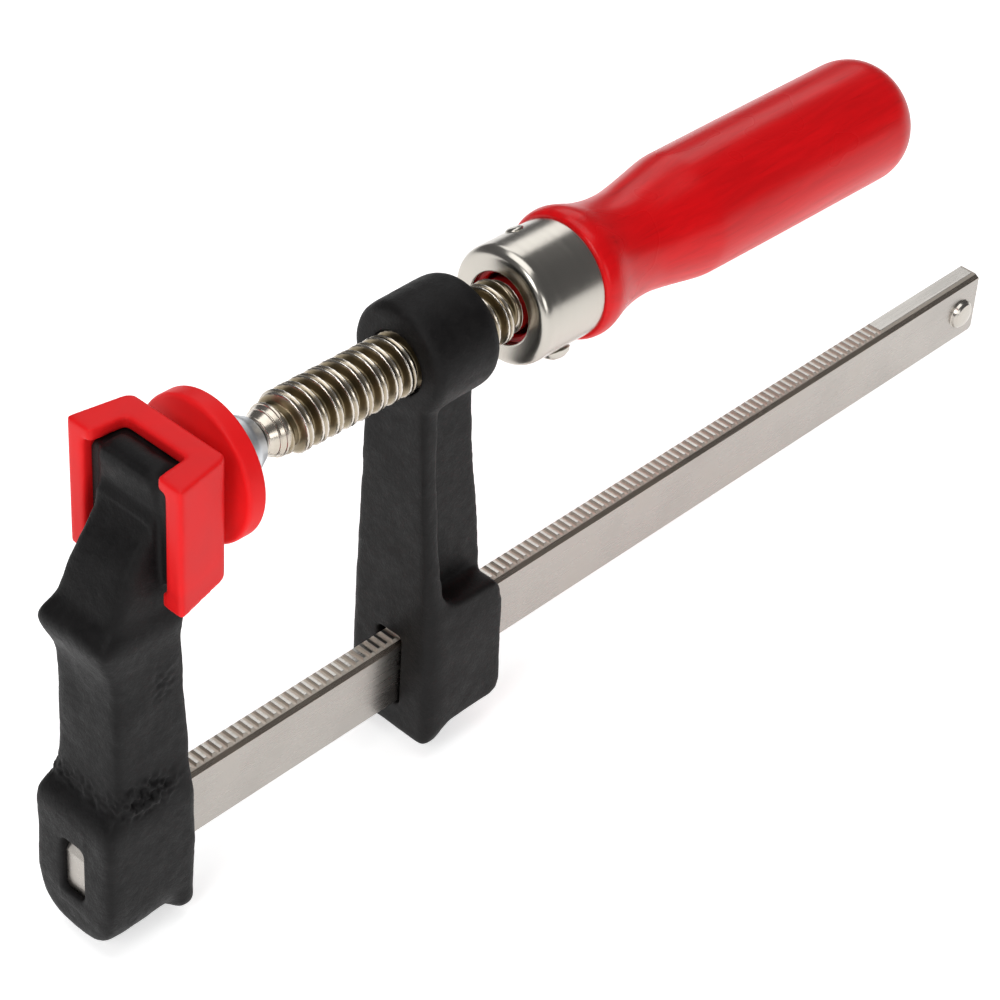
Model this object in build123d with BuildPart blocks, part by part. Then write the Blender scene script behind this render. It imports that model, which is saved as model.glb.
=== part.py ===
from build123d import *
import math
import os

os.makedirs("parts", exist_ok=True)

# F clamp, millimetres. Origin: centre of the fixed jaw's clamping face.
# +X runs along the bar from the fixed jaw to the handle, +Z is up, away from the bar.

# --- throat and screw axis -------------------------------------------------
throat = 50.0            # bar top to the centre of the clamping faces
cant = 1.65              # the screw dips towards the handle by this many degrees
arm_axis_x = 47.5        # where the screw axis crosses the height of the face centre
pitch = 2.8              # trapezoidal thread
crest_r = 4.85
root_r = 3.45
bore_r = 4.93            # arm bore around the thread crests

# --- bar --------------------------------------------------------------------
bar_x0, bar_x1 = -19.6, 184.6
bar_t = 4.3              # thickness
bar_top_w = 2.5          # flat left between the two top bevels
bar_bevel_z = 1.25
bar_h = 12.3
bar_top = -throat
tooth_pitch = 1.5
tooth_depth = 0.40
teeth_x0, teeth_n = -1.0, 106
stop_x, stop_z = 180.4, -56.9
stop_r, stop_h = 2.6, 0.9

# --- fixed jaw ---------------------------------------------------------------
jaw_block_w = 16.0
jaw_col_w = 12.8
head_w, head_z0, head_z1 = 15.6, -8.3, 8.2
win_w, win_z0, win_z1 = 4.5, -61.7, -52.0      # window onto the bar's end
head_x0, head_x1 = -8.6, -2.75

# --- cap on the fixed jaw ---------------------------------------------------
cap_h = 20.6
cap_front_w, cap_rim_w = 19.0, 22.2
cap_depth = 9.7
cap_front_t = 2.7
cap_rim_in = 7.9         # half width of the opening between the rear lips
cap_top_in = 6.3         # half width of the opening in the top lip, at the rear

# --- sliding arm ------------------------------------------------------------
arm_front = 41.0
arm_block_x1 = 56.8
arm_web_t = 7.4
boss_x0, boss_x1 = 39.9, 53.2
boss_r, boss_z = 8.7, 0.5

# --- stations along the screw axis, measured like x at the arm --------------
pad_front = 2.35
pad_rim = 5.4
pad_r = 10.9
disc_r, disc_s0, disc_s1 = 8.6, 3.75, 5.05
collar_r, collar_end = 4.55, 12.6
ball_s, ball_r, socket_r = 8.6, 3.20, 3.27
ball_bore_r, tip_r = 1.55, 1.50
neck_s0, cone_s1, thread_s0, thread_s1 = 11.4, 16.2, 16.7, 61.2
neck_r = 2.2
shank_r, shank_end = 4.20, 96.0
ferrule_s0, ferrule_s1, ferrule_r, ferrule_t = 60.8, 73.3, 9.25, 1.2
ferrule_front_r = 2.4    # rounding of the ferrule's front edge
ferrule_hole_r = 5.6
nose_s0, nose_r = 62.0, 8.03
handle_end = 148.3
pin_s, pin_r, pin_head_r, pin_len = 68.3, 1.40, 2.3, 19.2
pin_turn = 32.0
slop = 0.02              # fit between pieces that are pressed together

# --- axis frame --------------------------------------------------------------
ca, sa = math.cos(math.radians(cant)), math.sin(math.radians(cant))
axis_dir = (ca, 0, -sa)
axis_o = (arm_axis_x - arm_axis_x * ca, 0, arm_axis_x * sa)   # station 0
screw_axis = Axis(axis_o, axis_dir)
lathe = Plane(origin=axis_o, x_dir=axis_dir, z_dir=(0, -1, 0))


def across(s):
    """A plane square to the screw axis at station s."""
    o = (axis_o[0] + s * ca, 0, axis_o[2] - s * sa)
    return Plane(origin=o, x_dir=(0, 1, 0), z_dir=axis_dir)


# the pin lies square to the screw axis, its head turned towards -Y
pt = math.radians(pin_turn)
up = (sa, 0, ca)
pin_plane = Plane(origin=across(pin_s).origin, x_dir=axis_dir,
                  z_dir=(up[0] * math.cos(pt), math.sin(pt), up[2] * math.cos(pt)))

# ============================================================ bar
with BuildPart() as bar:
    with BuildSketch(Plane.YZ.offset(bar_x0)):
        with BuildLine():
            Polyline(
                (-bar_top_w / 2, bar_top), (bar_top_w / 2, bar_top),
                (bar_t / 2, bar_top - bar_bevel_z), (bar_t / 2, bar_top - bar_h + 0.35),
                (bar_t / 2 - 0.35, bar_top - bar_h), (-bar_t / 2 + 0.35, bar_top - bar_h),
                (-bar_t / 2, bar_top - bar_h + 0.35), (-bar_t / 2, bar_top - bar_bevel_z),
                close=True)
        make_face()
    extrude(amount=bar_x1 - bar_x0)
    # corners of the free end
    with BuildSketch(Plane.XZ):
        with BuildLine():
            Polyline((bar_x1 - 1.4, bar_top + 1), (bar_x1 - 1.4, bar_top),
                     (bar_x1 - 0.45, bar_top - 0.4), (bar_x1, bar_top - 1.4),
                     (bar_x1 + 1, bar_top - 1.4), (bar_x1 + 1, bar_top + 1), close=True)
        make_face()
        with BuildLine():
            Polyline((bar_x1 - 0.9, bar_top - bar_h - 1), (bar_x1 - 0.9, bar_top - bar_h),
                     (bar_x1, bar_top - bar_h + 0.9), (bar_x1 + 1, bar_top - bar_h + 0.9),
                     (bar_x1 + 1, bar_top - bar_h - 1), close=True)
        make_face()
        # the end held in the jaw is knocked over at the top
        with BuildLine():
            Polyline((bar_x0 - 1, bar_top + 1), (bar_x0 - 1, bar_top - 5.0), (bar_x0, bar_top - 5.0),
                     (bar_x0 + 1.0, bar_top - 3.0), (bar_x0 + 1.6, bar_top - 1.6), (bar_x0 + 1.6, bar_top + 1),
                     close=True)
        make_face()
    extrude(amount=bar_t, both=True, mode=Mode.SUBTRACT)
    # serrations across the top edge
    with BuildSketch(Plane.XZ):
        with BuildLine():
            pts = [(teeth_x0, bar_top + 1.0)]
            for i in range(teeth_n):
                x = teeth_x0 + i * tooth_pitch
                pts += [(x, bar_top + 0.001), (x + 0.25, bar_top - tooth_depth),
                        (x + 0.75, bar_top - tooth_depth), (x + 1.0, bar_top + 0.001)]
            pts += [(teeth_x0 + teeth_n * tooth_pitch, bar_top + 0.001),
                    (teeth_x0 + teeth_n * tooth_pitch, bar_top + 1.0)]
            Polyline(*pts, close=True)
        make_face()
    extrude(amount=bar_t, both=True, mode=Mode.SUBTRACT)
    # pressed stop bump near the free end, dished on the far side
    with BuildSketch(Plane(origin=(stop_x, -bar_t / 2 - stop_h, stop_z), x_dir=(1, 0, 0), z_dir=(0, 1, 0))):
        Circle(stop_r - 0.5)
    extrude(amount=stop_h + 0.5, taper=-20)
    with BuildSketch(Plane(origin=(stop_x, bar_t / 2, stop_z), x_dir=(1, 0, 0), z_dir=(0, -1, 0))):
        Circle(stop_r - 0.4)
    extrude(amount=0.8, taper=25, mode=Mode.SUBTRACT)

# ============================================================ fixed jaw
with BuildPart() as fixed_jaw:
    with BuildSketch(Plane.XZ):
        with BuildLine():
            Polyline(
                (-20.7, -63.0), (-20.4, -68.0), (-19.4, -69.8), (-5.2, -69.8), (-4.4, -68.0),
                (-3.9, -45.0), (-3.8, -38.0), (-5.0, -14.0), (-5.0, 6.0), (-4.6, 8.2), (-5.2, 9.5),
                (-7.6, 9.8), (-8.8, 9.3), (-9.4, 7.0), (-8.9, 3.6), (-11.0, -0.5), (-13.8, -4.6), (-16.1, -9.5),
                (-17.3, -12.6), (-18.6, -13.3), (-19.6, -13.9), (-19.8, -15.4), (-19.0, -17.6),
                (-17.6, -20.6), (-17.2, -25.0), (-17.5, -38.7), (-17.9, -43.6), (-19.0, -44.6),
                (-20.2, -46.2), (-20.5, -48.0), close=True)
        make_face()
    extrude(amount=jaw_block_w / 2, both=True)
    with BuildSketch(Plane.YZ):
        with BuildLine():
            hw, cw = jaw_block_w / 2, jaw_col_w / 2
            Polyline(
                (-1.6, -69.9), (1.6, -69.9), (4.0, -69.0), (5.8, -67.6), (7.3, -65.4), (hw, -62.6),
                (hw, -46.4), (hw - 0.4, -44.8), (cw + 0.1, -40.5), (cw, -24.0), (cw + 0.2, -18.5), (cw + 0.7, -15.6),
                (cw + 0.6, -13.8), (cw - 0.1, -12.8), (cw - 0.7, -6.0), (5.4, 3.0), (5.2, 9.0), (4.6, 9.9),
                (-4.6, 9.9), (-5.2, 9.0), (-5.4, 3.0), (-cw + 0.7, -6.0), (-cw + 0.1, -12.8),
                (-cw - 0.6, -13.8), (-cw - 0.7, -15.6), (-cw - 0.2, -18.5), (-cw, -24.0), (-cw - 0.1, -40.5),
                (-hw + 0.4, -44.8), (-hw, -46.4), (-hw, -62.6), (-7.3, -65.4), (-5.8, -67.6), (-4.0, -69.0),
                close=True)
        make_face()
    extrude(amount=40, both=True, mode=Mode.INTERSECT)
    # toe under the inner edge of the block
    with BuildSketch(Plane.YZ.offset(-7.4)):
        with BuildLine():
            Polyline((-hw, -60.0), (hw, -60.0), (hw, -67.6), (7.2, -69.0), (4.2, -70.2), (1.6, -70.8),
                     (-1.6, -70.8), (-4.2, -70.2), (-7.2, -69.0), (-hw, -67.6), close=True)
        make_face()
    extrude(amount=3.1)
    # head plate that carries the cap
    with BuildSketch(Plane.YZ.offset(head_x0)):
        with Locations((0, (head_z0 + head_z1) / 2)):
            RectangleRounded(head_w, head_z1 - head_z0, 1.8)
    extrude(amount=head_x1 - head_x0)
    # slot that holds the bar, and the window left open onto its end
    with BuildSketch(Plane.YZ.offset(bar_x0 - slop)):
        with Locations((0, bar_top - bar_h / 2)):
            Rectangle(bar_t + 2 * slop, bar_h + 2 * slop)
    extrude(amount=40, mode=Mode.SUBTRACT)
    with BuildSketch(Plane.YZ.offset(-24)):
        with Locations((0, (win_z0 + win_z1) / 2)):
            RectangleRounded(win_w, win_z1 - win_z0, 0.7)
    extrude(amount=24 + bar_x0, mode=Mode.SUBTRACT)

# ============================================================ cap on the fixed jaw
with BuildPart() as fixed_jaw_cap:
    with BuildSketch(Plane.XY.offset(-cap_h / 2 - 0.6)):
        with BuildLine():
            fw, rw = cap_front_w / 2, cap_rim_w / 2
            Polyline(
                (-0.9, fw), (0, fw - 0.8), (0, -fw + 0.8), (-0.9, -fw),
                (-cap_depth + 0.35, -rw), (-cap_depth, -rw + 0.35), (-cap_depth, -cap_rim_in),
                (-cap_depth + 0.7, -cap_rim_in + 0.05), (head_x0 + 0.05, -head_w / 2 - slop - 0.1),
                (-cap_front_t, -head_w / 2 - slop), (-cap_front_t, head_w / 2 + slop),
                (head_x0 + 0.05, head_w / 2 + slop + 0.1),
                (-cap_depth + 0.7, cap_rim_in - 0.05), (-cap_depth, cap_rim_in),
                (-cap_depth, rw - 0.35), (-cap_depth + 0.35, rw), close=True)
        make_face()
    extrude(amount=cap_h + 0.6)
    # closed bottom under the head plate, cut away around the column
    with BuildSketch(Plane.XY.offset(-cap_h / 2 - 0.6)):
        with BuildLine():
            Polyline((-1.0, 8.9), (-1.0, -8.9), (-9.6, -9.6), (-9.6, -7.2), (-4.98, -7.2),
                     (-4.98, 7.2), (-9.6, 7.2), (-9.6, 9.6), close=True)
        make_face()
    extrude(amount=cap_h / 2 + 0.6 + head_z0 - slop)
    # lip over the top edge of the head plate
    with BuildSketch(Plane.XY.offset(head_z1 + slop)):
        with BuildLine():
            Polyline((-1.0, 9.2), (-1.0, -9.2), (-cap_depth + 0.35, -rw + 0.6), (-cap_depth, -cap_top_in - 0.5),
                     (-cap_depth + 0.6, -cap_top_in), (-4.0, -5.75), (-4.0, 5.75),
                     (-cap_depth + 0.6, cap_top_in), (-cap_depth, cap_top_in + 0.5), (-cap_depth + 0.35, rw - 0.6),
                     close=True)
        make_face()
    extrude(amount=cap_h / 2 - head_z1 - slop)
    # the underside drops towards the rear
    with BuildSketch(Plane.XZ):
        with BuildLine():
            Polyline((1.0, -cap_h / 2 + 0.5), (-cap_depth - 1.0, -cap_h / 2 - 0.55), (-cap_depth - 1.0, 12.0),
                     (1.0, 12.0), close=True)
        make_face()
    extrude(amount=20, both=True, mode=Mode.INTERSECT)

# ============================================================ sliding arm
with BuildPart() as sliding_arm:
    # front flange, seen from the side
    with BuildSketch(Plane.XZ):
        with BuildLine():
            Polyline(
                (arm_front + 0.2, -67.6), (arm_front + 0.9, -68.4), (arm_front + 2.6, -68.4), (arm_front + 3.6, -66.4),
                (arm_front + 5.0, -65.1), (arm_front + 3.4, -42.0), (arm_front + 2.6, -34.5), (arm_front + 2.3, -24.5),
                (arm_front + 2.0, -12.0), (arm_front + 2.0, -4.0), (arm_front - 1.0, -4.0), (arm_front - 0.75, -18.0),
                (arm_front - 0.3, -32.0), (arm_front, -50.0), close=True)
        make_face()
    extrude(amount=8.9, both=True)
    # block around the bar
    with BuildSketch(Plane.XZ):
        with BuildLine():
            Polyline(
                (arm_front + 1.0, -65.1), (arm_block_x1 - 2.0, -65.1), (arm_block_x1 - 0.4, -64.3),
                (arm_block_x1, -62.6), (arm_block_x1 - 0.3, -47.0), (arm_block_x1 - 0.7, -44.4), (arm_block_x1 - 1.6, -42.9),
                (arm_block_x1 - 3.2, -42.4), (46.8, -42.2), (44.9, -41.4), (44.1, -39.8), (43.6, -37.0),
                (arm_front + 1.0, -37.0), close=True)
        make_face()
    extrude(amount=8.9, both=True)
    # front outline, narrowing upwards
    with BuildSketch(Plane.YZ):
        with BuildLine():
            Polyline(
                (-6.9, -68.6), (6.9, -68.6), (8.2, -67.2), (8.8, -64.8), (8.8, -48.0), (8.4, -43.5),
                (7.8, -38.4), (7.1, -30.0), (6.5, -20.0), (6.1, -12.0), (6.0, 0),
                (-6.0, 0), (-6.1, -12.0), (-6.5, -20.0), (-7.1, -30.0), (-7.8, -38.4), (-8.4, -43.5),
                (-8.8, -48.0), (-8.8, -64.8), (-8.2, -67.2), close=True)
        make_face()
    extrude(amount=90, both=True, mode=Mode.INTERSECT)
    # front corners eased, as seen from above
    with BuildSketch(Plane.XY.offset(-75)):
        with BuildLine():
            Polyline((30, -12), (60, -12), (60, 12), (30, 12), close=True)
        make_face()
        with BuildLine():
            Polyline((30, -12.5), (44.0, -12.5), (44.0, -8.9), (42.2, -8.4), (41.3, -7.5), (40.6, -6.5), (30, -6.5), close=True)
        make_face(mode=Mode.SUBTRACT)
        with BuildLine():
            Polyline((30, 12.5), (44.0, 12.5), (44.0, 8.9), (42.2, 8.4), (41.3, 7.5), (40.6, 6.5), (30, 6.5), close=True)
        make_face(mode=Mode.SUBTRACT)
    extrude(amount=80, mode=Mode.INTERSECT)
    # web behind the flange
    with BuildSketch(Plane.XZ):
        with BuildLine():
            Polyline((arm_front + 1, -50), (arm_block_x1 - 1.2, -50), (arm_block_x1 - 0.6, -44.0),
                     (56.2, -41.5), (55.5, -34.0), (54.3, -26.0), (53.1, -18.0), (52.6, -10.0), (52.4, -3.0),
                     (arm_front, -3.0), close=True)
        make_face()
    extrude(amount=arm_web_t / 2, both=True)
    # round boss about the screw, its ends eased in steps
    with BuildSketch(Plane.YZ.offset(boss_x0 + 1.0)):
        with Locations((0, boss_z)):
            Circle(boss_r)
    extrude(amount=boss_x1 - boss_x0 - 2.8)
    with BuildSketch(Plane(origin=(boss_x0 + 1.0, 0, boss_z), x_dir=(0, 1, 0), z_dir=(-1, 0, 0))):
        Circle(boss_r)
    extrude(amount=1.0, taper=40)
    with BuildSketch(Plane(origin=(boss_x1 - 1.8, 0, boss_z), x_dir=(0, 1, 0), z_dir=(1, 0, 0))):
        Circle(boss_r)
    extrude(amount=1.0, taper=24)
    cut = 1.0 * math.tan(math.radians(24))
    with BuildSketch(Plane(origin=(boss_x1 - 0.8, 0, boss_z), x_dir=(0, 1, 0), z_dir=(1, 0, 0))):
        Circle(boss_r - cut)
    extrude(amount=0.8, taper=56)
    # slot for the bar
    with BuildSketch(Plane.YZ):
        with Locations((0, bar_top - bar_h / 2)):
            Rectangle(bar_t + 0.4, bar_h + 0.9)
    extrude(amount=90, both=True, mode=Mode.SUBTRACT)
    # bore for the screw
    with BuildSketch(across(20.0)):
        Circle(bore_r)
    extrude(amount=50, mode=Mode.SUBTRACT)

# ============================================================ spindle
with BuildPart() as spindle:
    with BuildSketch(lathe):
        with BuildLine():
            Polyline(
                (ball_s - 2.0, 0), (ball_s - 2.0, tip_r - 0.2), (ball_s - 1.8, tip_r), (neck_s0 + 0.35, tip_r),
                (neck_s0 + 0.35, neck_r), (12.9, neck_r), (13.1, 2.62), (14.9, 3.38), (15.0, 3.52), (15.7, 3.78),
                (15.8, 3.95), (cone_s1, 4.05), (cone_s1 + 0.15, 3.95), (thread_s0, root_r),
                (thread_s1, root_r), (thread_s1, shank_r), (shank_end, shank_r), (shank_end, 0), close=True)
        make_face()
    revolve(axis=screw_axis)
    # trapezoidal ridge swept along a right-hand helix
    helix_s = thread_s0 + pitch * 0.45
    with BuildLine() as helix:
        Helix(pitch=pitch, height=thread_s1 - helix_s - pitch * 0.4, radius=root_r,
              center=across(helix_s).origin, direction=axis_dir)
    start = helix.line @ 0
    out_dir = (start - across(helix_s).origin).normalized()
    with BuildSketch(Plane(origin=start, x_dir=out_dir, z_dir=helix.line % 0)):
        with BuildLine():
            d = crest_r - root_r
            Polyline((-0.25, -1.0), (0, -0.9), (d - 0.12, -0.55), (d, -0.42), (d, 0.42),
                     (d - 0.12, 0.55), (0, 0.9), (-0.25, 1.0), close=True)
        make_face()
    sweep(path=helix.line, is_frenet=True)
    # cross hole for the handle pin
    with BuildSketch(pin_plane):
        Circle(pin_r + slop)
    extrude(amount=15, both=True, mode=Mode.SUBTRACT)

# ============================================================ ball at the spindle's tip
with BuildPart() as swivel_ball:
    with BuildSketch(lathe):
        with BuildLine():
            flat = math.sqrt(ball_r ** 2 - neck_r ** 2)
            l1 = Line((ball_s - flat, neck_r), (ball_s - flat, ball_bore_r))
            l2 = Line(l1 @ 1, (neck_s0 + 0.25, ball_bore_r))
            l3 = Line(l2 @ 1, (neck_s0 + 0.25, neck_r))
            l4 = Line(l3 @ 1, (ball_s + flat, neck_r))
            ThreePointArc(l4 @ 1, (ball_s, ball_r), l1 @ 0)
        make_face()
    revolve(axis=screw_axis)

# ============================================================ swivel pressure pad, steel
with BuildPart() as pressure_pad:
    with BuildSketch(lathe):
        with BuildLine():
            mouth = 2.86
            mx = ball_s + math.sqrt(socket_r ** 2 - mouth ** 2)
            p1 = Line((disc_s0, 0), (disc_s0, disc_r - 0.3))
            p2 = Line(p1 @ 1, (disc_s0 + 0.3, disc_r))
            p3 = Line(p2 @ 1, (disc_s1, disc_r))
            p4 = Line(p3 @ 1, (disc_s1, collar_r + 0.9))
            p5 = Line(p4 @ 1, (disc_s1 + 0.9, collar_r + 0.15))
            p6 = Line(p5 @ 1, (collar_end - 2.2, collar_r))
            p7 = ThreePointArc(p6 @ 1, (collar_end - 0.62, collar_r - 0.5), (collar_end, mouth + 0.35))
            p8 = Line(p7 @ 1, (collar_end - 0.15, mouth + 0.1))
            p9 = Line(p8 @ 1, (mx, mouth))
            p10 = ThreePointArc(p9 @ 1, (ball_s, socket_r), (ball_s - socket_r, 0))
            Line(p10 @ 1, (disc_s0, 0))
        make_face()
    revolve(axis=screw_axis)

# ============================================================ round cap on the pad
with BuildPart() as pad_cap:
    with BuildSketch(lathe):
        with BuildLine():
            Polyline(
                (pad_front, 0), (pad_front, pad_r - 0.7), (pad_front + 0.2, pad_r - 0.3),
                (pad_front + 0.6, pad_r - 0.05), (pad_rim - 0.5, pad_r), (pad_rim - 0.15, pad_r - 0.12),
                (pad_rim, pad_r - 0.5), (pad_rim, disc_r - 0.5), (disc_s1 + 0.03, disc_r - 0.4),
                (disc_s1 + 0.03, disc_r + slop), (disc_s0 + 0.28, disc_r + slop),
                (disc_s0 - slop, disc_r - 0.28), (disc_s0 - slop, 0), close=True)
        make_face()
    revolve(axis=screw_axis)

# ============================================================ ferrule
with BuildPart() as ferrule:
    with BuildSketch(lathe):
        with BuildLine():
            fi = ferrule_r - ferrule_t
            f1 = Line((ferrule_s0 + 0.25, ferrule_hole_r), (ferrule_s0, ferrule_hole_r + 0.25))
            fr = ferrule_front_r
            f2 = Line(f1 @ 1, (ferrule_s0, ferrule_r - fr))
            f3 = ThreePointArc(f2 @ 1, (ferrule_s0 + 0.293 * fr, ferrule_r - 0.293 * fr), (ferrule_s0 + fr, ferrule_r))
            f4 = Line(f3 @ 1, (ferrule_s1 - 0.25, ferrule_r))
            f5 = Line(f4 @ 1, (ferrule_s1, ferrule_r - 0.25))
            f6 = Line(f5 @ 1, (ferrule_s1, fi))
            f7 = Line(f6 @ 1, (ferrule_s0 + 1.9, fi))
            f8 = Line(f7 @ 1, (ferrule_s0 + 1.3, fi - 0.6))
            f9 = Line(f8 @ 1, (ferrule_s0 + 1.3, ferrule_hole_r))
            Line(f9 @ 1, f1 @ 0)
        make_face()
    revolve(axis=screw_axis)
    with BuildSketch(pin_plane):
        Circle(pin_r + slop)
    extrude(amount=15, both=True, mode=Mode.SUBTRACT)

# ============================================================ handle
with BuildPart() as handle:
    with BuildSketch(lathe):
        with BuildLine():
            h1 = Line((nose_s0, shank_r + 0.9), (nose_s0, nose_r - 0.8))
            h2 = Line(h1 @ 1, (nose_s0 + 0.8, nose_r))
            h3 = Line(h2 @ 1, (ferrule_s1 + 0.02, nose_r))
            h4 = Line(h3 @ 1, (ferrule_s1 + 0.02, ferrule_r + 0.2))
            h5 = Spline(h4 @ 1, (ferrule_s1 + 1.0, 10.1), (ferrule_s1 + 2.4, 10.2), (78.6, 9.35), (82.5, 8.45),
                        (87.0, 8.15), (92.0, 8.75), (96.0, 9.45), (98.8, 9.95))
            h6 = Line(h5 @ 1, (142.0, 10.15))
            h7 = Spline(h6 @ 1, (146.0, 8.75), (147.7, 6.2), (handle_end, 3.4), tangents=((1, 0), (0.10, -1)))
            h8 = Line(h7 @ 1, (handle_end + 0.1, 0))
            h9 = Line(h8 @ 1, (shank_end + 1.0, 0))
            h10 = Line(h9 @ 1, (shank_end + 1.0, shank_r + slop))
            h11 = Line(h10 @ 1, (nose_s0 + 1.2, shank_r + slop))
            Line(h11 @ 1, h1 @ 0)
        make_face()
    revolve(axis=screw_axis)
    with BuildSketch(pin_plane):
        Circle(pin_r + slop)
    extrude(amount=15, both=True, mode=Mode.SUBTRACT)

# ============================================================ pin through ferrule, handle and spindle
with BuildPart() as handle_pin:
    with BuildSketch(pin_plane):
        Circle(pin_r)
    extrude(amount=pin_len / 2, both=True)
    with BuildSketch(pin_plane.offset(-pin_len / 2 - 1.0)):
        Circle(pin_head_r - 0.75)
    extrude(amount=1.3, taper=-30)

bar.part.label = "bar"
fixed_jaw.part.label = "fixed_jaw"
fixed_jaw_cap.part.label = "fixed_jaw_cap"
sliding_arm.part.label = "sliding_arm"
spindle.part.label = "spindle"
swivel_ball.part.label = "swivel_ball"
pressure_pad.part.label = "pressure_pad"
pad_cap.part.label = "pad_cap"
ferrule.part.label = "ferrule"
handle.part.label = "handle"
handle_pin.part.label = "handle_pin"

export_step(bar.part, "parts/bar.step")
export_step(fixed_jaw.part, "parts/fixed_jaw.step")
export_step(fixed_jaw_cap.part, "parts/fixed_jaw_cap.step")
export_step(sliding_arm.part, "parts/sliding_arm.step")
export_step(spindle.part, "parts/spindle.step")
export_step(swivel_ball.part, "parts/swivel_ball.step")
export_step(pressure_pad.part, "parts/pressure_pad.step")
export_step(pad_cap.part, "parts/pad_cap.step")
export_step(ferrule.part, "parts/ferrule.step")
export_step(handle.part, "parts/handle.step")
export_step(handle_pin.part, "parts/handle_pin.step")

for piece in (bar, fixed_jaw, fixed_jaw_cap, sliding_arm, spindle, swivel_ball, pressure_pad,
              pad_cap, ferrule, handle, handle_pin):
    b = piece.part.bounding_box()
    print(piece.part.label, "solids", len(piece.part.solids()), "valid", piece.part.is_valid,
          "volume", round(piece.part.volume, 1), "box", b.min, b.max)
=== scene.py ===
import bpy, bmesh, math
import numpy as np
from mathutils import Matrix, Vector, noise


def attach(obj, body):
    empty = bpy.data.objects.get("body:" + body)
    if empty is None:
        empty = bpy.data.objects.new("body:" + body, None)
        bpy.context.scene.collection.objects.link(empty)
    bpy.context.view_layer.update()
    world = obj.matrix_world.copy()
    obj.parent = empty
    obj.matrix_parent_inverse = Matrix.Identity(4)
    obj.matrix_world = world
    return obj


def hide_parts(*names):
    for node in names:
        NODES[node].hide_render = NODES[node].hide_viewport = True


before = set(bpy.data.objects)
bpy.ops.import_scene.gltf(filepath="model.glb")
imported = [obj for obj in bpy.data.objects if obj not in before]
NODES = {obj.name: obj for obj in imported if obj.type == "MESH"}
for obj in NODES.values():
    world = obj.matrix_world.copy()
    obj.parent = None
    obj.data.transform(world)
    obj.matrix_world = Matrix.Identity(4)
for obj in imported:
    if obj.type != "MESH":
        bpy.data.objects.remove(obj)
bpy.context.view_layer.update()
MM = 0.001

# ------------------------------------------------------------------ screw axis
CANT = math.radians(1.65)
CA, SA = math.cos(CANT), math.sin(CANT)
AX = Vector((CA, 0, -SA))
AX_O = Vector((47.5 - 47.5 * CA, 0, 47.5 * SA))          # station 0, mm
UP = Vector((SA, 0, CA))
SIDE = Vector((0, 1, 0))


def on_axis(s, r=0.0, th=0.0):
    """Point at station s, radius r; th turns right-handed about the axis from UP. In metres."""
    side = AX.cross(UP)
    return (AX_O + AX * s + (UP * math.cos(th) + side * math.sin(th)) * r) * MM


# ------------------------------------------------------------------ mesh helpers
def rounded(pts, seg=5):
    """pts: (s, r, fillet radius). Returns the outline with each corner rounded."""
    out = []
    n = len(pts)
    for i, p in enumerate(pts):
        f = p[2] if len(p) > 2 else 0
        if f <= 0 or i in (0, n - 1):
            out.append((p[0], p[1]))
            continue
        a = Vector((pts[i - 1][0] - p[0], pts[i - 1][1] - p[1]))
        b = Vector((pts[i + 1][0] - p[0], pts[i + 1][1] - p[1]))
        la, lb = a.length, b.length
        a.normalize(); b.normalize()
        ang = a.angle(b)
        d = min(f / math.tan(ang / 2), la * 0.49, lb * 0.49)
        pa, pb = Vector((p[0], p[1])) + a * d, Vector((p[0], p[1])) + b * d
        for k in range(seg + 1):
            t = k / seg
            q = pa * (1 - t) ** 2 + Vector((p[0], p[1])) * 2 * t * (1 - t) + pb * t ** 2
            out.append((q.x, q.y))
    return out


def add(name, verts, faces, smooth=True):
    me = bpy.data.meshes.new(name)
    me.from_pydata([tuple(v) for v in verts], [], faces)
    me.validate()
    me.update()
    ob = bpy.data.objects.new(name, me)
    bpy.context.scene.collection.objects.link(ob)
    if smooth:
        me.polygons.foreach_set("use_smooth", [True] * len(me.polygons))
    bm = bmesh.new(); bm.from_mesh(me)
    bmesh.ops.remove_doubles(bm, verts=bm.verts, dist=1e-7)
    bmesh.ops.recalc_face_normals(bm, faces=bm.faces)
    bm.to_mesh(me); bm.free()
    return ob


def lathe(name, outline, seg=160, closed=False):
    """Turned piece: outline is a list of (station, radius), in mm."""
    verts, faces = [], []
    rows = []
    for s, r in outline:
        if r < 1e-6:
            rows.append([len(verts)]); verts.append(on_axis(s))
        else:
            rows.append(list(range(len(verts), len(verts) + seg)))
            verts += [on_axis(s, r, 2 * math.pi * k / seg) for k in range(seg)]
    pairs = list(zip(rows, rows[1:])) + ([(rows[-1], rows[0])] if closed else [])
    for a, b in pairs:
        if len(a) == 1 and len(b) == 1:
            continue
        for k in range(seg):
            j = (k + 1) % seg
            if len(a) == 1:
                faces.append((a[0], b[k], b[j]))
            elif len(b) == 1:
                faces.append((a[k], b[0], a[j]))
            else:
                faces.append((a[k], b[k], b[j], a[j]))
    return add(name, verts, faces)


def weighted(ob):
    m = ob.modifiers.new("normals", "WEIGHTED_NORMAL")
    m.keep_sharp = True
    m.weight = 60
    return ob


def bevel(ob, w, seg=3, angle=28):
    m = ob.modifiers.new("edges", "BEVEL")
    m.width = w * MM
    m.segments = seg
    m.limit_method = "ANGLE"
    m.angle_limit = math.radians(angle)
    m.harden_normals = False
    return m


def place(ob, body, nodes, mat):
    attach(ob, body)
    if nodes:
        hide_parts(*nodes)
    ob.data.materials.clear()
    ob.data.materials.append(mat)
    return ob


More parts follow.
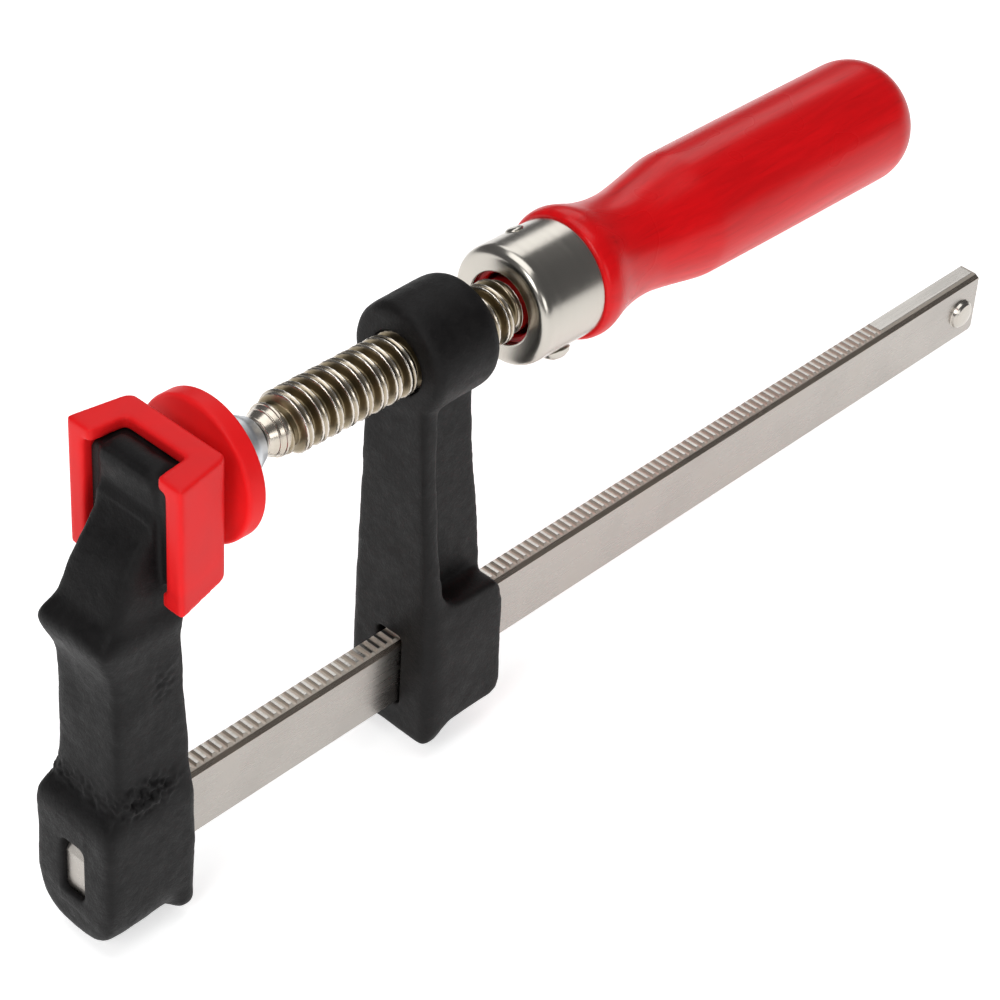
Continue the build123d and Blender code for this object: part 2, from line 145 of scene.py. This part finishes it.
# ------------------------------------------------------------------ shader helpers
class Mat:
    def __init__(self, name):
        self.m = bpy.data.materials.new(name)
        self.m.use_nodes = True
        self.t = self.m.node_tree
        self.b = self.t.nodes["Principled BSDF"]
        self.co = self.t.nodes.new("ShaderNodeTexCoord")

    def new(self, kind, **kw):
        n = self.t.nodes.new(kind)
        for k, v in kw.items():
            if k in n.inputs.keys():
                n.inputs[k].default_value = v
            else:
                setattr(n, k, v)
        return n

    def link(self, a, b):
        self.t.links.new(a, b)

    def coords(self, scale=(1, 1, 1), rot=(0, 0, 0), loc=(0, 0, 0)):
        mp = self.new("ShaderNodeMapping")
        mp.inputs["Scale"].default_value = scale
        mp.inputs["Rotation"].default_value = rot
        mp.inputs["Location"].default_value = loc
        self.link(self.co.outputs["Object"], mp.inputs["Vector"])
        return mp.outputs["Vector"]

    def noise(self, vec, scale, detail=4.0, rough=0.55, dist=0.0):
        n = self.new("ShaderNodeTexNoise")
        n.inputs["Scale"].default_value = scale
        n.inputs["Detail"].default_value = detail
        n.inputs["Roughness"].default_value = rough
        n.inputs["Distortion"].default_value = dist
        self.link(vec, n.inputs["Vector"])
        return n.outputs["Fac"]

    def ramp(self, fac, stops):
        r = self.new("ShaderNodeValToRGB")
        e = r.color_ramp.elements
        while len(e) < len(stops):
            e.new(0.5)
        for el, (p, c) in zip(e, stops):
            el.position = p
            el.color = c if len(c) == 4 else (*c, 1)
        self.link(fac, r.inputs["Fac"])
        return r.outputs["Color"]

    def maprange(self, v, a, b, c, d):
        n = self.new("ShaderNodeMapRange")
        for k, x in zip(("From Min", "From Max", "To Min", "To Max"), (a, b, c, d)):
            n.inputs[k].default_value = x
        self.link(v, n.inputs["Value"])
        return n.outputs["Result"]

    def mix(self, fac, a, b, kind="MIX"):
        n = self.new("ShaderNodeMix", data_type="RGBA", blend_type=kind)
        for sock, v in ((n.inputs[0], fac), (n.inputs[6], a), (n.inputs[7], b)):
            if hasattr(v, "is_output"):
                self.link(v, sock)
            else:
                sock.default_value = v if not isinstance(v, tuple) else (*v[:3], 1)
        return n.outputs[2]

    def math(self, op, a, b=0.0):
        n = self.new("ShaderNodeMath", operation=op)
        for sock, v in ((n.inputs[0], a), (n.inputs[1], b)):
            if hasattr(v, "is_output"):
                self.link(v, sock)
            else:
                sock.default_value = v
        return n.outputs[0]

    def bump(self, height, dist, strength=1.0, normal=None):
        n = self.new("ShaderNodeBump")
        n.inputs["Distance"].default_value = dist
        n.inputs["Strength"].default_value = strength
        self.link(height, n.inputs["Height"])
        if normal is not None:
            self.link(normal, n.inputs["Normal"])
        return n.outputs["Normal"]

    def set(self, **kw):
        for k, v in kw.items():
            s = self.b.inputs[k.replace("_", " ")]
            if hasattr(v, "is_output"):
                self.link(v, s)
            else:
                s.default_value = (*v, 1) if isinstance(v, tuple) and s.type == "RGBA" and len(v) == 3 else v


# ------------------------------------------------------------------ materials
def iron(name, rough_scale, bump_mm, tint, lumps=1.0):
    m = Mat(name)
    v = m.coords()
    big = m.noise(v, 430 * rough_scale, 4, 0.6, 0.0)
    fine = m.noise(v, 2300, 4, 0.65)
    spots = m.noise(v, 900, 3, 0.5)
    col = m.ramp(big, [(0.25, tuple(c * 0.62 for c in tint)), (0.52, tint), (0.8, tuple(c * 1.55 for c in tint))])
    col = m.mix(m.maprange(spots, 0.60, 0.74, 0, 0.35), col, tuple(c * 2.4 for c in tint))
    r = m.maprange(m.math("ADD", m.math("MULTIPLY", big, 0.6), m.math("MULTIPLY", fine, 0.4)), 0.3, 0.7, 0.42, 0.66)
    n1 = m.bump(big, bump_mm * MM, 0.55 * lumps)
    n2 = m.bump(fine, 0.10 * MM, 0.60, n1)
    m.set(Base_Color=col, Roughness=r, Normal=n2, Specular_IOR_Level=0.17, IOR=1.5)
    return m.m


def plated(name, tint, rough, brush=(1, 1, 1), brush_scale=900, brush_bump=0.010, dirt=0.18, stain=(0.30, 0.24, 0.17), edge=False, rings=False):
    m = Mat(name)
    v = m.coords(brush)
    lines = m.noise(v, brush_scale, 3, 0.6)
    cloud = m.noise(m.coords(), 90, 4, 0.55)
    pits = m.noise(m.coords(), 1500, 2, 0.5)
    col = m.ramp(cloud, [(0.3, tuple(c * 0.93 for c in tint)), (0.7, tuple(min(1, c * 1.05) for c in tint))])
    col = m.mix(m.maprange(cloud, 0.56, 0.85, 0, dirt), col, stain)
    if edge:
        xyz = m.new("ShaderNodeSeparateXYZ")
        m.link(m.co.outputs["Object"], xyz.inputs[0])
        z = xyz.outputs[2]
        strip = m.math("MULTIPLY", m.maprange(z, -0.05134, -0.05126, 0, 1), m.maprange(z, -0.05006, -0.05014, 0, 1))
        col = m.mix(m.math("MULTIPLY", strip, m.maprange(cloud, 0.3, 0.7, 0.72, 0.95)), col, (0.50, 0.42, 0.345))
        crest = m.maprange(z, -0.05008, -0.05002, 0, 1)
        col = m.mix(crest, col, (0.47, 0.45, 0.42))
    r = m.maprange(m.math("ADD", m.math("MULTIPLY", lines, 0.55), m.math("MULTIPLY", cloud, 0.45)), 0.3, 0.7, rough * 0.78, rough * 1.25)
    if edge:
        low = m.math("MULTIPLY", m.maprange(z, -0.05056, -0.05050, 0, 1), m.math("SUBTRACT", 1.0, crest))
        r = m.math("ADD", r, m.math("MULTIPLY", low, 0.34))
        col = m.mix(low, col, (0.66, 0.60, 0.53))
    n = m.bump(lines, brush_bump * MM, 0.6)
    n = m.bump(pits, 0.006 * MM, 0.35, n)
    m.set(Base_Color=col, Metallic=1.0, Roughness=r, Normal=n)
    return m.m


def red_plastic(name, tint, rough):
    m = Mat(name)
    v = m.coords()
    flow = m.noise(v, 70, 3, 0.5, 0.6)
    grain = m.noise(v, 1800, 3, 0.6)
    col = m.ramp(flow, [(0.3, tuple(c * 0.90 for c in tint)), (0.7, tuple(min(1, c * 1.07) for c in tint))])
    r = m.maprange(flow, 0.3, 0.7, rough * 0.85, rough * 1.2)
    n = m.bump(flow, 0.10 * MM, 0.25)
    n = m.bump(grain, 0.012 * MM, 0.5, n)
    m.set(Base_Color=col, Roughness=r, Normal=n, Specular_IOR_Level=0.15, IOR=1.45,
          Subsurface_Weight=0.12, Subsurface_Scale=0.0015, Subsurface_Radius=(1.0, 0.25, 0.15))
    return m.m


def lacquer(name, tint):
    m = Mat(name)
    v = m.coords((0.12, 1, 1))
    grain = m.noise(v, 520, 5, 0.62, 0.5)
    pores = m.noise(m.coords((0.05, 1, 1)), 1700, 2, 0.5)
    wave = m.noise(m.coords(), 60, 2, 0.5)
    col = m.ramp(grain, [(0.30, tuple(c * 0.84 for c in tint)), (0.60, tint), (0.85, tuple(min(1, c * 1.10) for c in tint))])
    col = m.mix(m.maprange(pores, 0.62, 0.76, 0, 0.30), col, tuple(c * 0.55 for c in tint))
    r = m.maprange(wave, 0.3, 0.7, 0.26, 0.34)
    n = m.bump(grain, 0.030 * MM, 0.30)
    n = m.bump(pores, 0.020 * MM, 0.25, n)
    n = m.bump(wave, 0.25 * MM, 0.20, n)
    m.set(Base_Color=col, Roughness=r, Normal=n, Specular_IOR_Level=0.20, Coat_Weight=0.04,
          Coat_Roughness=0.10, Coat_IOR=1.5)
    return m.m


def screw_metal(name):
    """Plated thread: bright worn crests, brown oily roots. Reads the mesh's own crest attribute."""
    m = Mat(name)
    at = m.new("ShaderNodeAttribute", attribute_name="crest", attribute_type="GEOMETRY")
    v = m.coords()
    cloud = m.noise(v, 240, 4, 0.6)
    fine = m.noise(v, 1600, 3, 0.6)
    turned = m.noise(m.coords((1, 0.01, 0.01)), 3800, 2, 0.6)
    k = m.math("ADD", at.outputs["Fac"], m.math("MULTIPLY", m.math("SUBTRACT", cloud, 0.5), 0.45))
    col = m.ramp(k, [(0.05, (0.23, 0.185, 0.115)), (0.40, (0.37, 0.31, 0.22)), (0.70, (0.60, 0.55, 0.48)), (0.95, (0.86, 0.83, 0.79))])
    r = m.maprange(m.math("ADD", k, m.math("MULTIPLY", fine, 0.25)), 0.0, 1.2, 0.36, 0.17)
    n = m.bump(fine, 0.012 * MM, 0.5)
    n = m.bump(turned, 0.035 * MM, 0.5, n)
    n = m.bump(cloud, 0.05 * MM, 0.35, n)
    m.set(Base_Color=col, Metallic=1.0, Roughness=r, Normal=n)
    return m.m


M_JAW = iron("jaw_iron_coat", 1.3, 0.13, (0.0066, 0.0061, 0.0063), 1.0)
M_ARM = iron("arm_iron_coat", 1.2, 0.07, (0.0070, 0.0063, 0.0063), 0.6)
M_BAR = plated("bar_nickel", (0.422, 0.396, 0.366), 0.27, (0.02, 1, 1), 1500, 0.010, edge=True)
M_FER = plated("ferrule_nickel", (0.540, 0.510, 0.460), 0.23, (1, 0.03, 0.03), 900, 0.0012, 0.14)
M_PAD = plated("pad_zinc", (0.66, 0.68, 0.70), 0.42, (1, 0.05, 0.05), 900, 0.008, 0.10, (0.35, 0.36, 0.38))
M_SCREW = screw_metal("screw_nickel")
M_CAP = red_plastic("cap_red", (0.86, 0.014, 0.016), 0.40)
M_HANDLE = lacquer("handle_lacquer", (0.74, 0.0040, 0.0068))


# ------------------------------------------------------------------ castings
def laplace(co, e, w, iters):
    """Edges worn round: each vertex moves towards its neighbours' mean, by its own weight."""
    n = len(co)
    a, b = e[:, 0], e[:, 1]
    deg = np.bincount(a, minlength=n) + np.bincount(b, minlength=n)
    for _ in range(iters):
        s = np.stack([np.bincount(a, co[b, k], n) + np.bincount(b, co[a, k], n) for k in range(3)], 1)
        co = co + 0.5 * w[:, None] * (s / deg[:, None] - co)
    return co


def casting(name, node, body, mat, voxel, smooth, amp, amp2, seed, keep, crinkle=None, ledge=None):
    """The CAD casting, remeshed finely, its edges worn round as a mould leaves them, and its skin uneven."""
    src = NODES[node]
    tmp = bpy.data.objects.new(name + "_tmp", src.data.copy())
    tmp.matrix_world = src.matrix_world
    bpy.context.scene.collection.objects.link(tmp)
    m = tmp.modifiers.new("v", "REMESH"); m.mode = "VOXEL"; m.voxel_size = voxel * MM; m.adaptivity = 0
    dg = bpy.context.evaluated_depsgraph_get()
    me = bpy.data.meshes.new_from_object(tmp.evaluated_get(dg), depsgraph=dg)
    bpy.data.objects.remove(tmp)
    me.name = name
    n = len(me.vertices)
    co = np.empty(n * 3); me.vertices.foreach_get("co", co); co = co.reshape(-1, 3)
    ed = np.empty(len(me.edges) * 2, dtype=np.int32); me.edges.foreach_get("vertices", ed); ed = ed.reshape(-1, 2)
    wear = np.array([max(0.12, keep(Vector(c) * 1000)) for c in co])
    co = laplace(co, ed, wear, smooth)
    if ledge is not None:
        co = laplace(co, ed, np.array([ledge(Vector(c) * 1000) for c in co]), 34)
    me.vertices.foreach_set("co", co.ravel())
    me.update()
    no = np.empty(n * 3); me.vertices.foreach_get("normal", no); no = no.reshape(-1, 3)
    off = np.zeros(n)
    for i in range(n):
        p = Vector(co[i]) * 1000
        w = keep(p)
        if w <= 0:
            continue
        a = noise.noise(p * 0.16 + Vector((seed, 0, 0))) * amp
        b = noise.noise(p * 0.62 + Vector((0, seed, 0))) * amp2
        c = noise.noise(p * 1.7 + Vector((0, 0, seed))) * amp2 * 0.4
        off[i] = (a + b + c) * w
        if crinkle is not None:
            k = crinkle(p) * w
            if k > 0:
                off[i] += k * (noise.noise(p * 0.85 + Vector((5, seed, 1))) * 1.1
                               + noise.noise(p * 1.9 + Vector((seed, 2, 9))) * 0.75)
    co += no * off[:, None] * MM
    co[:, 0] = np.maximum(co[:, 0], -20.69 * MM)
    me.vertices.foreach_set("co", co.ravel())
    me.update()
    ob = bpy.data.objects.new(name, me)
    bpy.context.scene.collection.objects.link(ob)
    me.polygons.foreach_set("use_smooth", [True] * len(me.polygons))
    return place(ob, body, [node], mat)


def near_bar(p, hw=2.9):
    """0 on the slot's walls, 1 well away from them, so the slot stays true."""
    if -64.0 < p.z < -48.0 and abs(p.y) < hw:
        return 0.0
    return 1.0


def keep_jaw(p):
    w = near_bar(p)
    if p.x > -9.9 and -11.5 < p.z < 8.4:
        w = 0.0                      # the head plate sits in the cap
    return w


def crinkle_jaw(p):
    """Rough, crinkled metal where the column meets the block, and a little under the heel."""
    d = math.hypot((p.z + 42.8) / 3.4, (p.x + 13.0) / 7.0)
    e = math.hypot((p.z + 25.0) / 5.0, (p.x + 9.0) / 3.0)
    return max(0.0, 1 - d) * 1.0 + max(0.0, 1 - e) * 0.35


def fade_ledge(p):
    """The heel's ledge runs out into the column on its near and far sides."""
    if not -36.0 < p.z < -17.0 or p.x < -17.5:
        return 0.0
    return min(1.0, (p.x + 17.5) / 3.0) * min(1.0, (p.z + 36.0) / 3.0, (-17.0 - p.z) / 3.0)


def keep_arm(p):
    w = near_bar(p)
    rr = math.hypot(p.y, p.z + (p.x - 47.5) * SA)
    if rr < 6.4:
        w = 0.0
    return w


jaw = casting("jaw_casting", "fixed_jaw", "rail", M_JAW, 0.32, 64, 0.20, 0.05, 3.1, keep_jaw, crinkle_jaw, fade_ledge)
arm = casting("arm_casting", "sliding_arm", "arm", M_ARM, 0.32, 16, 0.12, 0.03, 7.7, keep_arm)


# ------------------------------------------------------------------ CAD nodes that keep their own shape
def dress(node, mat, slot, w=0.0, seg=3):
    ob = NODES[node]
    ob.data.materials.clear()
    ob.data.materials.append(mat)
    for s in ob.material_slots:
        s.material = mat
    if w:
        bevel(ob, w, seg)
        weighted(ob)
    return ob


dress("bar", M_BAR, "bar_steel")
casting("cap_square", "fixed_jaw_cap", "rail", M_CAP, 0.2, 20, 0, 0, 1.0, lambda p: 1.0)
dress("swivel_ball", M_PAD, "screw_steel")

# ------------------------------------------------------------------ turned pieces
pad = lathe("pad_steel", rounded([
    (3.75, 0), (3.75, 8.6, 0.3), (5.05, 8.6, 0.2), (5.05, 5.5, 0.8), (6.2, 4.75, 0.8), (10.6, 4.55, 1.7),
    (12.6, 3.5, 0.5), (12.6, 3.1, 0.15), (11.8, 2.9, 0.3), (10.2, 2.9, 0.2), (8.6, 3.27, 1.0),
    (6.2, 2.3, 1.0), (5.33, 0.8, 0.3), (5.33, 0)], 8))
place(weighted(pad), "pad", ["pressure_pad"], M_PAD)

cap = lathe("pad_cap_round", rounded([
    (2.35, 0), (2.35, 10.9, 0.8), (5.4, 10.9, 0.4), (5.4, 8.1, 0.25), (5.1, 8.2, 0.1), (5.1, 8.64, 0.05),
    (3.73, 8.62, 0.1), (3.73, 0)], 8), 200)
place(weighted(cap), "pad", ["pad_cap"], M_CAP)

fer = lathe("ferrule_shell", rounded([
    (62.1, 5.6, 0.3), (60.8, 5.6, 0.35), (60.8, 9.25, 2.5), (73.3, 9.25, 0.22), (73.3, 8.05, 0.2),
    (63.2, 8.05, 0.5), (62.1, 7.2, 0.2), (62.1, 5.6)], 12), 220, closed=True)
place(weighted(fer), "screw", ["ferrule"], M_FER)

HANDLE = [(73.32, 9.3), (73.45, 9.65), (73.9, 9.98), (74.6, 10.15), (75.6, 10.2), (76.6, 10.02), (77.8, 9.65), (79.2, 9.18),
          (81.0, 8.72), (83.2, 8.35), (85.5, 8.17), (88.0, 8.2), (91.0, 8.58), (94.0, 9.08), (96.6, 9.55),
          (98.4, 9.84), (99.6, 9.95), (101.5, 9.98), (106.0, 10.0), (115.0, 10.04), (125.0, 10.06), (135.0, 10.07), (140.0, 10.07),
          (142.2, 10.02), (143.8, 9.70), (145.2, 9.12), (146.4, 8.25), (147.2, 7.25), (147.8, 5.9), (148.12, 4.4),
          (148.28, 2.8), (148.36, 1.3), (148.38, 0)]


def dense(pts, n=4):
    """Catmull-Rom through the points."""
    out = []
    P = [np.array(p, float) for p in pts]
    for i in range(len(P) - 1):
        p0, p1, p2, p3 = P[max(i - 1, 0)], P[i], P[i + 1], P[min(i + 2, len(P) - 1)]
        for k in range(n):
            t = k / n
            q = 0.5 * ((2 * p1) + (-p0 + p2) * t + (2 * p0 - 5 * p1 + 4 * p2 - p3) * t ** 2 + (-p0 + 3 * p1 - 3 * p2 + p3) * t ** 3)
            out.append((float(q[0]), max(0.0, float(q[1]))))
    out.append(tuple(pts[-1]))
    return out


han = lathe("handle_turned", [(63.2, 4.9), (62.0, 5.1), (62.0, 7.3), (62.25, 7.75), (62.8, 8.0), (73.32, 8.0)] + dense(HANDLE), 180)
place(weighted(han), "screw", ["handle"], M_HANDLE)

# ------------------------------------------------------------------ spindle with its thread
PITCH, ROOT, CREST = 2.8, 3.45, 4.85


def flank(f):
    """Height of the thread, 0 root to 1 crest, for f = distance from the crest's middle in mm."""
    f = abs(f)
    crest, base = 0.46, 0.98
    if f <= crest:
        return 0.86 + 0.14 * (f / crest) ** 2
    if f >= base:
        return 0.0
    t = (f - crest) / (base - crest)
    t = min(1.0, max(0.0, t))
    return 1 - (t * t * (3 - 2 * t) * 0.55 + t * 0.45)


def spindle_mesh():
    seg, ds = 144, 0.1
    neck = rounded([(6.6, 0), (6.6, 1.5, 0.1), (11.75, 1.5), (11.75, 2.2, 0.1), (13.15, 2.2, 0.1), (13.3, 2.5, 0.1),
                    (13.6, 2.85, 0.1), (13.75, 2.84, 0.05), (14.85, 3.36, 0.05), (14.9, 3.5, 0.05), (15.1, 3.52, 0.05), (15.15, 3.46, 0.05),
                    (15.75, 3.76, 0.05), (15.8, 3.94, 0.05), (16.05, 4.0, 0.05), (16.25, 3.95, 0.08), (16.6, 3.5, 0.1), (16.7, 3.45)], 4)
    th0, th1 = 16.7, 61.2
    n = int(round((th1 - th0) / ds))
    tail = rounded([(61.25, 3.5), (61.3, 4.2, 0.1), (96.0, 4.2, 0.4), (96.0, 0)], 4)
    verts, faces, crest, rows = [], [], [], []

    def ring(s, fn):
        rows.append(list(range(len(verts), len(verts) + seg)))
        for k in range(seg):
            th = 2 * math.pi * k / seg
            r, c = fn(th)
            verts.append(on_axis(s, r, th)); crest.append(c)

    for s, r in neck[1:]:
        ring(s, lambda th: (r, 0.66))
    for i in range(1, n):
        s = th0 + ds * i
        lead = min(1.0, max(0.0, (s - 16.4) / 1.9)) * min(1.0, max(0.0, (61.0 - s) / 1.0))

        def fn(th):
            f = (s - PHASE - PITCH * th / (2 * math.pi)) / PITCH
            f = (f - math.floor(f + 0.5)) * PITCH
            h = flank(f) * lead
            a = abs(f)
            c = 0.42 + 0.58 * (a / 0.46) ** 3 if a <= 0.46 else max(0.04, 0.95 - (a - 0.46) * 4.0)
            return ROOT + (CREST - ROOT) * h, c * (0.35 + 0.65 * lead)
        ring(s, fn)
    for s, r in tail[:-1]:
        ring(s, lambda th: (r, 0.7))
    a = len(verts); verts.append(on_axis(6.6)); crest.append(0.8)
    b = len(verts); verts.append(on_axis(96.0)); crest.append(0.8)
    for p, q in zip(rows, rows[1:]):
        for k in range(seg):
            j = (k + 1) % seg
            faces.append((p[k], q[k], q[j], p[j]))
    for k in range(seg):
        j = (k + 1) % seg
        faces.append((a, rows[0][k], rows[0][j]))
        faces.append((b, rows[-1][j], rows[-1][k]))
    me = bpy.data.meshes.new("spindle_threaded")
    me.from_pydata([tuple(v) for v in verts], [], faces)
    at = me.attributes.new("crest", "FLOAT", "POINT")
    at.data.foreach_set("value", crest)
    me.polygons.foreach_set("use_smooth", [True] * len(me.polygons))
    me.update()
    ob = bpy.data.objects.new("spindle_threaded", me)
    bpy.context.scene.collection.objects.link(ob)
    bm = bmesh.new(); bm.from_mesh(me); bmesh.ops.recalc_face_normals(bm, faces=bm.faces); bm.to_mesh(me); bm.free()
    return ob


PHASE = 1.8
place(spindle_mesh(), "screw", ["spindle"], M_SCREW)

# ------------------------------------------------------------------ cross pin with a domed head
pt = math.radians(32)
PD = (UP * math.cos(pt) + Vector((0, 1, 0)) * math.sin(pt)).normalized()     # towards the upper end
PO = AX_O + AX * 68.3


def pin_lathe(name, outline, seg=72):
    e1 = AX.copy(); e2 = PD.cross(e1)
    verts, faces, rows = [], [], []
    for s, r in outline:
        if r < 1e-6:
            rows.append([len(verts)]); verts.append((PO + PD * s) * MM)
        else:
            rows.append(list(range(len(verts), len(verts) + seg)))
            verts += [(PO + PD * s + (e1 * math.cos(2 * math.pi * k / seg) + e2 * math.sin(2 * math.pi * k / seg)) * r) * MM for k in range(seg)]
    for a, b in zip(rows, rows[1:]):
        for k in range(seg):
            j = (k + 1) % seg
            if len(a) == 1:
                faces.append((a[0], b[k], b[j]))
            elif len(b) == 1:
                faces.append((a[k], b[0], a[j]))
            else:
                faces.append((a[k], b[k], b[j], a[j]))
    return add(name, verts, faces)


pin = pin_lathe("cross_pin", rounded([(-10.62, 0), (-10.55, 1.1, 0.6), (-10.0, 1.95, 0.5), (-9.32, 2.28, 0.12), (-9.1, 1.4), (9.4, 1.4, 0.35), (9.58, 0.9, 0.3), (9.62, 0)], 6))
place(weighted(pin), "screw", ["handle_pin"], M_FER)

# ------------------------------------------------------------------ stop bump, pressed out of the bar
def bump_dome():
    c = Vector((180.4, -2.15, -56.9))
    prof = rounded([(-0.1, 2.76), (0.02, 2.76), (0.10, 2.62, 0.1), (0.62, 2.48, 0.3), (1.02, 2.05, 0.4), (1.16, 1.2, 0.6), (1.20, 0)], 6)
    verts, faces, rows = [], [], []
    for h, r in prof:
        if r < 1e-6:
            rows.append([len(verts)]); verts.append((c + Vector((0, -h, 0))) * MM)
        else:
            rows.append(list(range(len(verts), len(verts) + 72)))
            verts += [(c + Vector((r * math.cos(2 * math.pi * k / 72), -h, r * math.sin(2 * math.pi * k / 72)))) * MM for k in range(72)]
    for a, b in zip(rows, rows[1:]):
        for k in range(72):
            j = (k + 1) % 72
            faces.append((a[k], b[k], b[j], a[j]) if len(b) > 1 else (a[k], b[0], a[j]))
    return add("stop_bump", verts, faces)


place(weighted(bump_dome()), "rail", [], M_FER)

# ------------------------------------------------------------------ floor, light, camera
bpy.ops.mesh.primitive_plane_add(size=6.0, location=(0.08, 0, -0.0710))
floor = bpy.context.object
floor.name = "floor"
fm = Mat("floor_paper")
fn = fm.noise(fm.coords(), 40, 3, 0.5)
fm.set(Base_Color=fm.ramp(fn, [(0.3, (0.90, 0.90, 0.90)), (0.7, (0.93, 0.93, 0.925))]), Roughness=0.9,
       Emission_Color=(1, 1, 1), Emission_Strength=0.62)
floor.data.materials.append(fm.m)

w = bpy.data.worlds.new("studio")
bpy.context.scene.world = w
w.use_nodes = True
bg = w.node_tree.nodes["Background"]
bg.inputs["Color"].default_value = (0.80, 0.80, 0.82, 1)
bg.inputs["Strength"].default_value = 0.16


def area(name, loc, target, size, power, size_y=None, color=(1, 1, 1)):
    l = bpy.data.lights.new(name, "AREA")
    l.energy = power
    l.size = size
    if size_y:
        l.shape = "RECTANGLE"; l.size_y = size_y
    l.color = color
    o = bpy.data.objects.new(name, l)
    o.location = loc
    o.rotation_euler = (Vector(target) - Vector(loc)).to_track_quat("-Z", "Y").to_euler()
    bpy.context.scene.collection.objects.link(o)
    return o


C = (0.06, 0, -0.03)
area("top_box", (0.05, 0.10, 0.95), C, 0.9, 4.9, 0.9)
area("key_left", (-0.85, -0.30, 0.70), C, 0.45, 4.3, 0.6)
area("front_low", (-0.25, -1.0, 0.30), C, 0.5, 1.6, 0.4)
area("back_right", (0.72, 0.58, 0.62), C, 0.55, 1.35, 0.5)

# camera at the solved viewing angle
AZ, EL, ROLL, FPX = -48.934, 38.499, -3.988, 3182.568
TX, TY, TZ = -43.67, 36.517, 448.968
a, e, r = math.radians(AZ), math.radians(EL), math.radians(ROLL)
fwd = -Vector((math.sin(a) * math.cos(e), -math.cos(a) * math.cos(e), math.sin(e)))
right = fwd.cross(Vector((0, 0, 1))).normalized()
down = fwd.cross(right)
cr, sr = math.cos(r), math.sin(r)
R0 = right * cr + down * sr
R1 = -right * sr + down * cr
pos = -(R0 * TX + R1 * TY + fwd * TZ) + Vector((1.5, 0, -50.0))
cam = bpy.data.cameras.new("camera")
cam.sensor_width = 36.0
cam.lens = FPX * 36.0 / 1000.0
cam.clip_start = 0.01
co = bpy.data.objects.new("camera", cam)
co.matrix_world = Matrix(((R0.x, -R1.x, -fwd.x, pos.x * MM), (R0.y, -R1.y, -fwd.y, pos.y * MM),
                          (R0.z, -R1.z, -fwd.z, pos.z * MM), (0, 0, 0, 1)))
bpy.context.scene.collection.objects.link(co)
bpy.context.scene.camera = co
bpy.context.scene.view_settings.view_transform = "Standard"
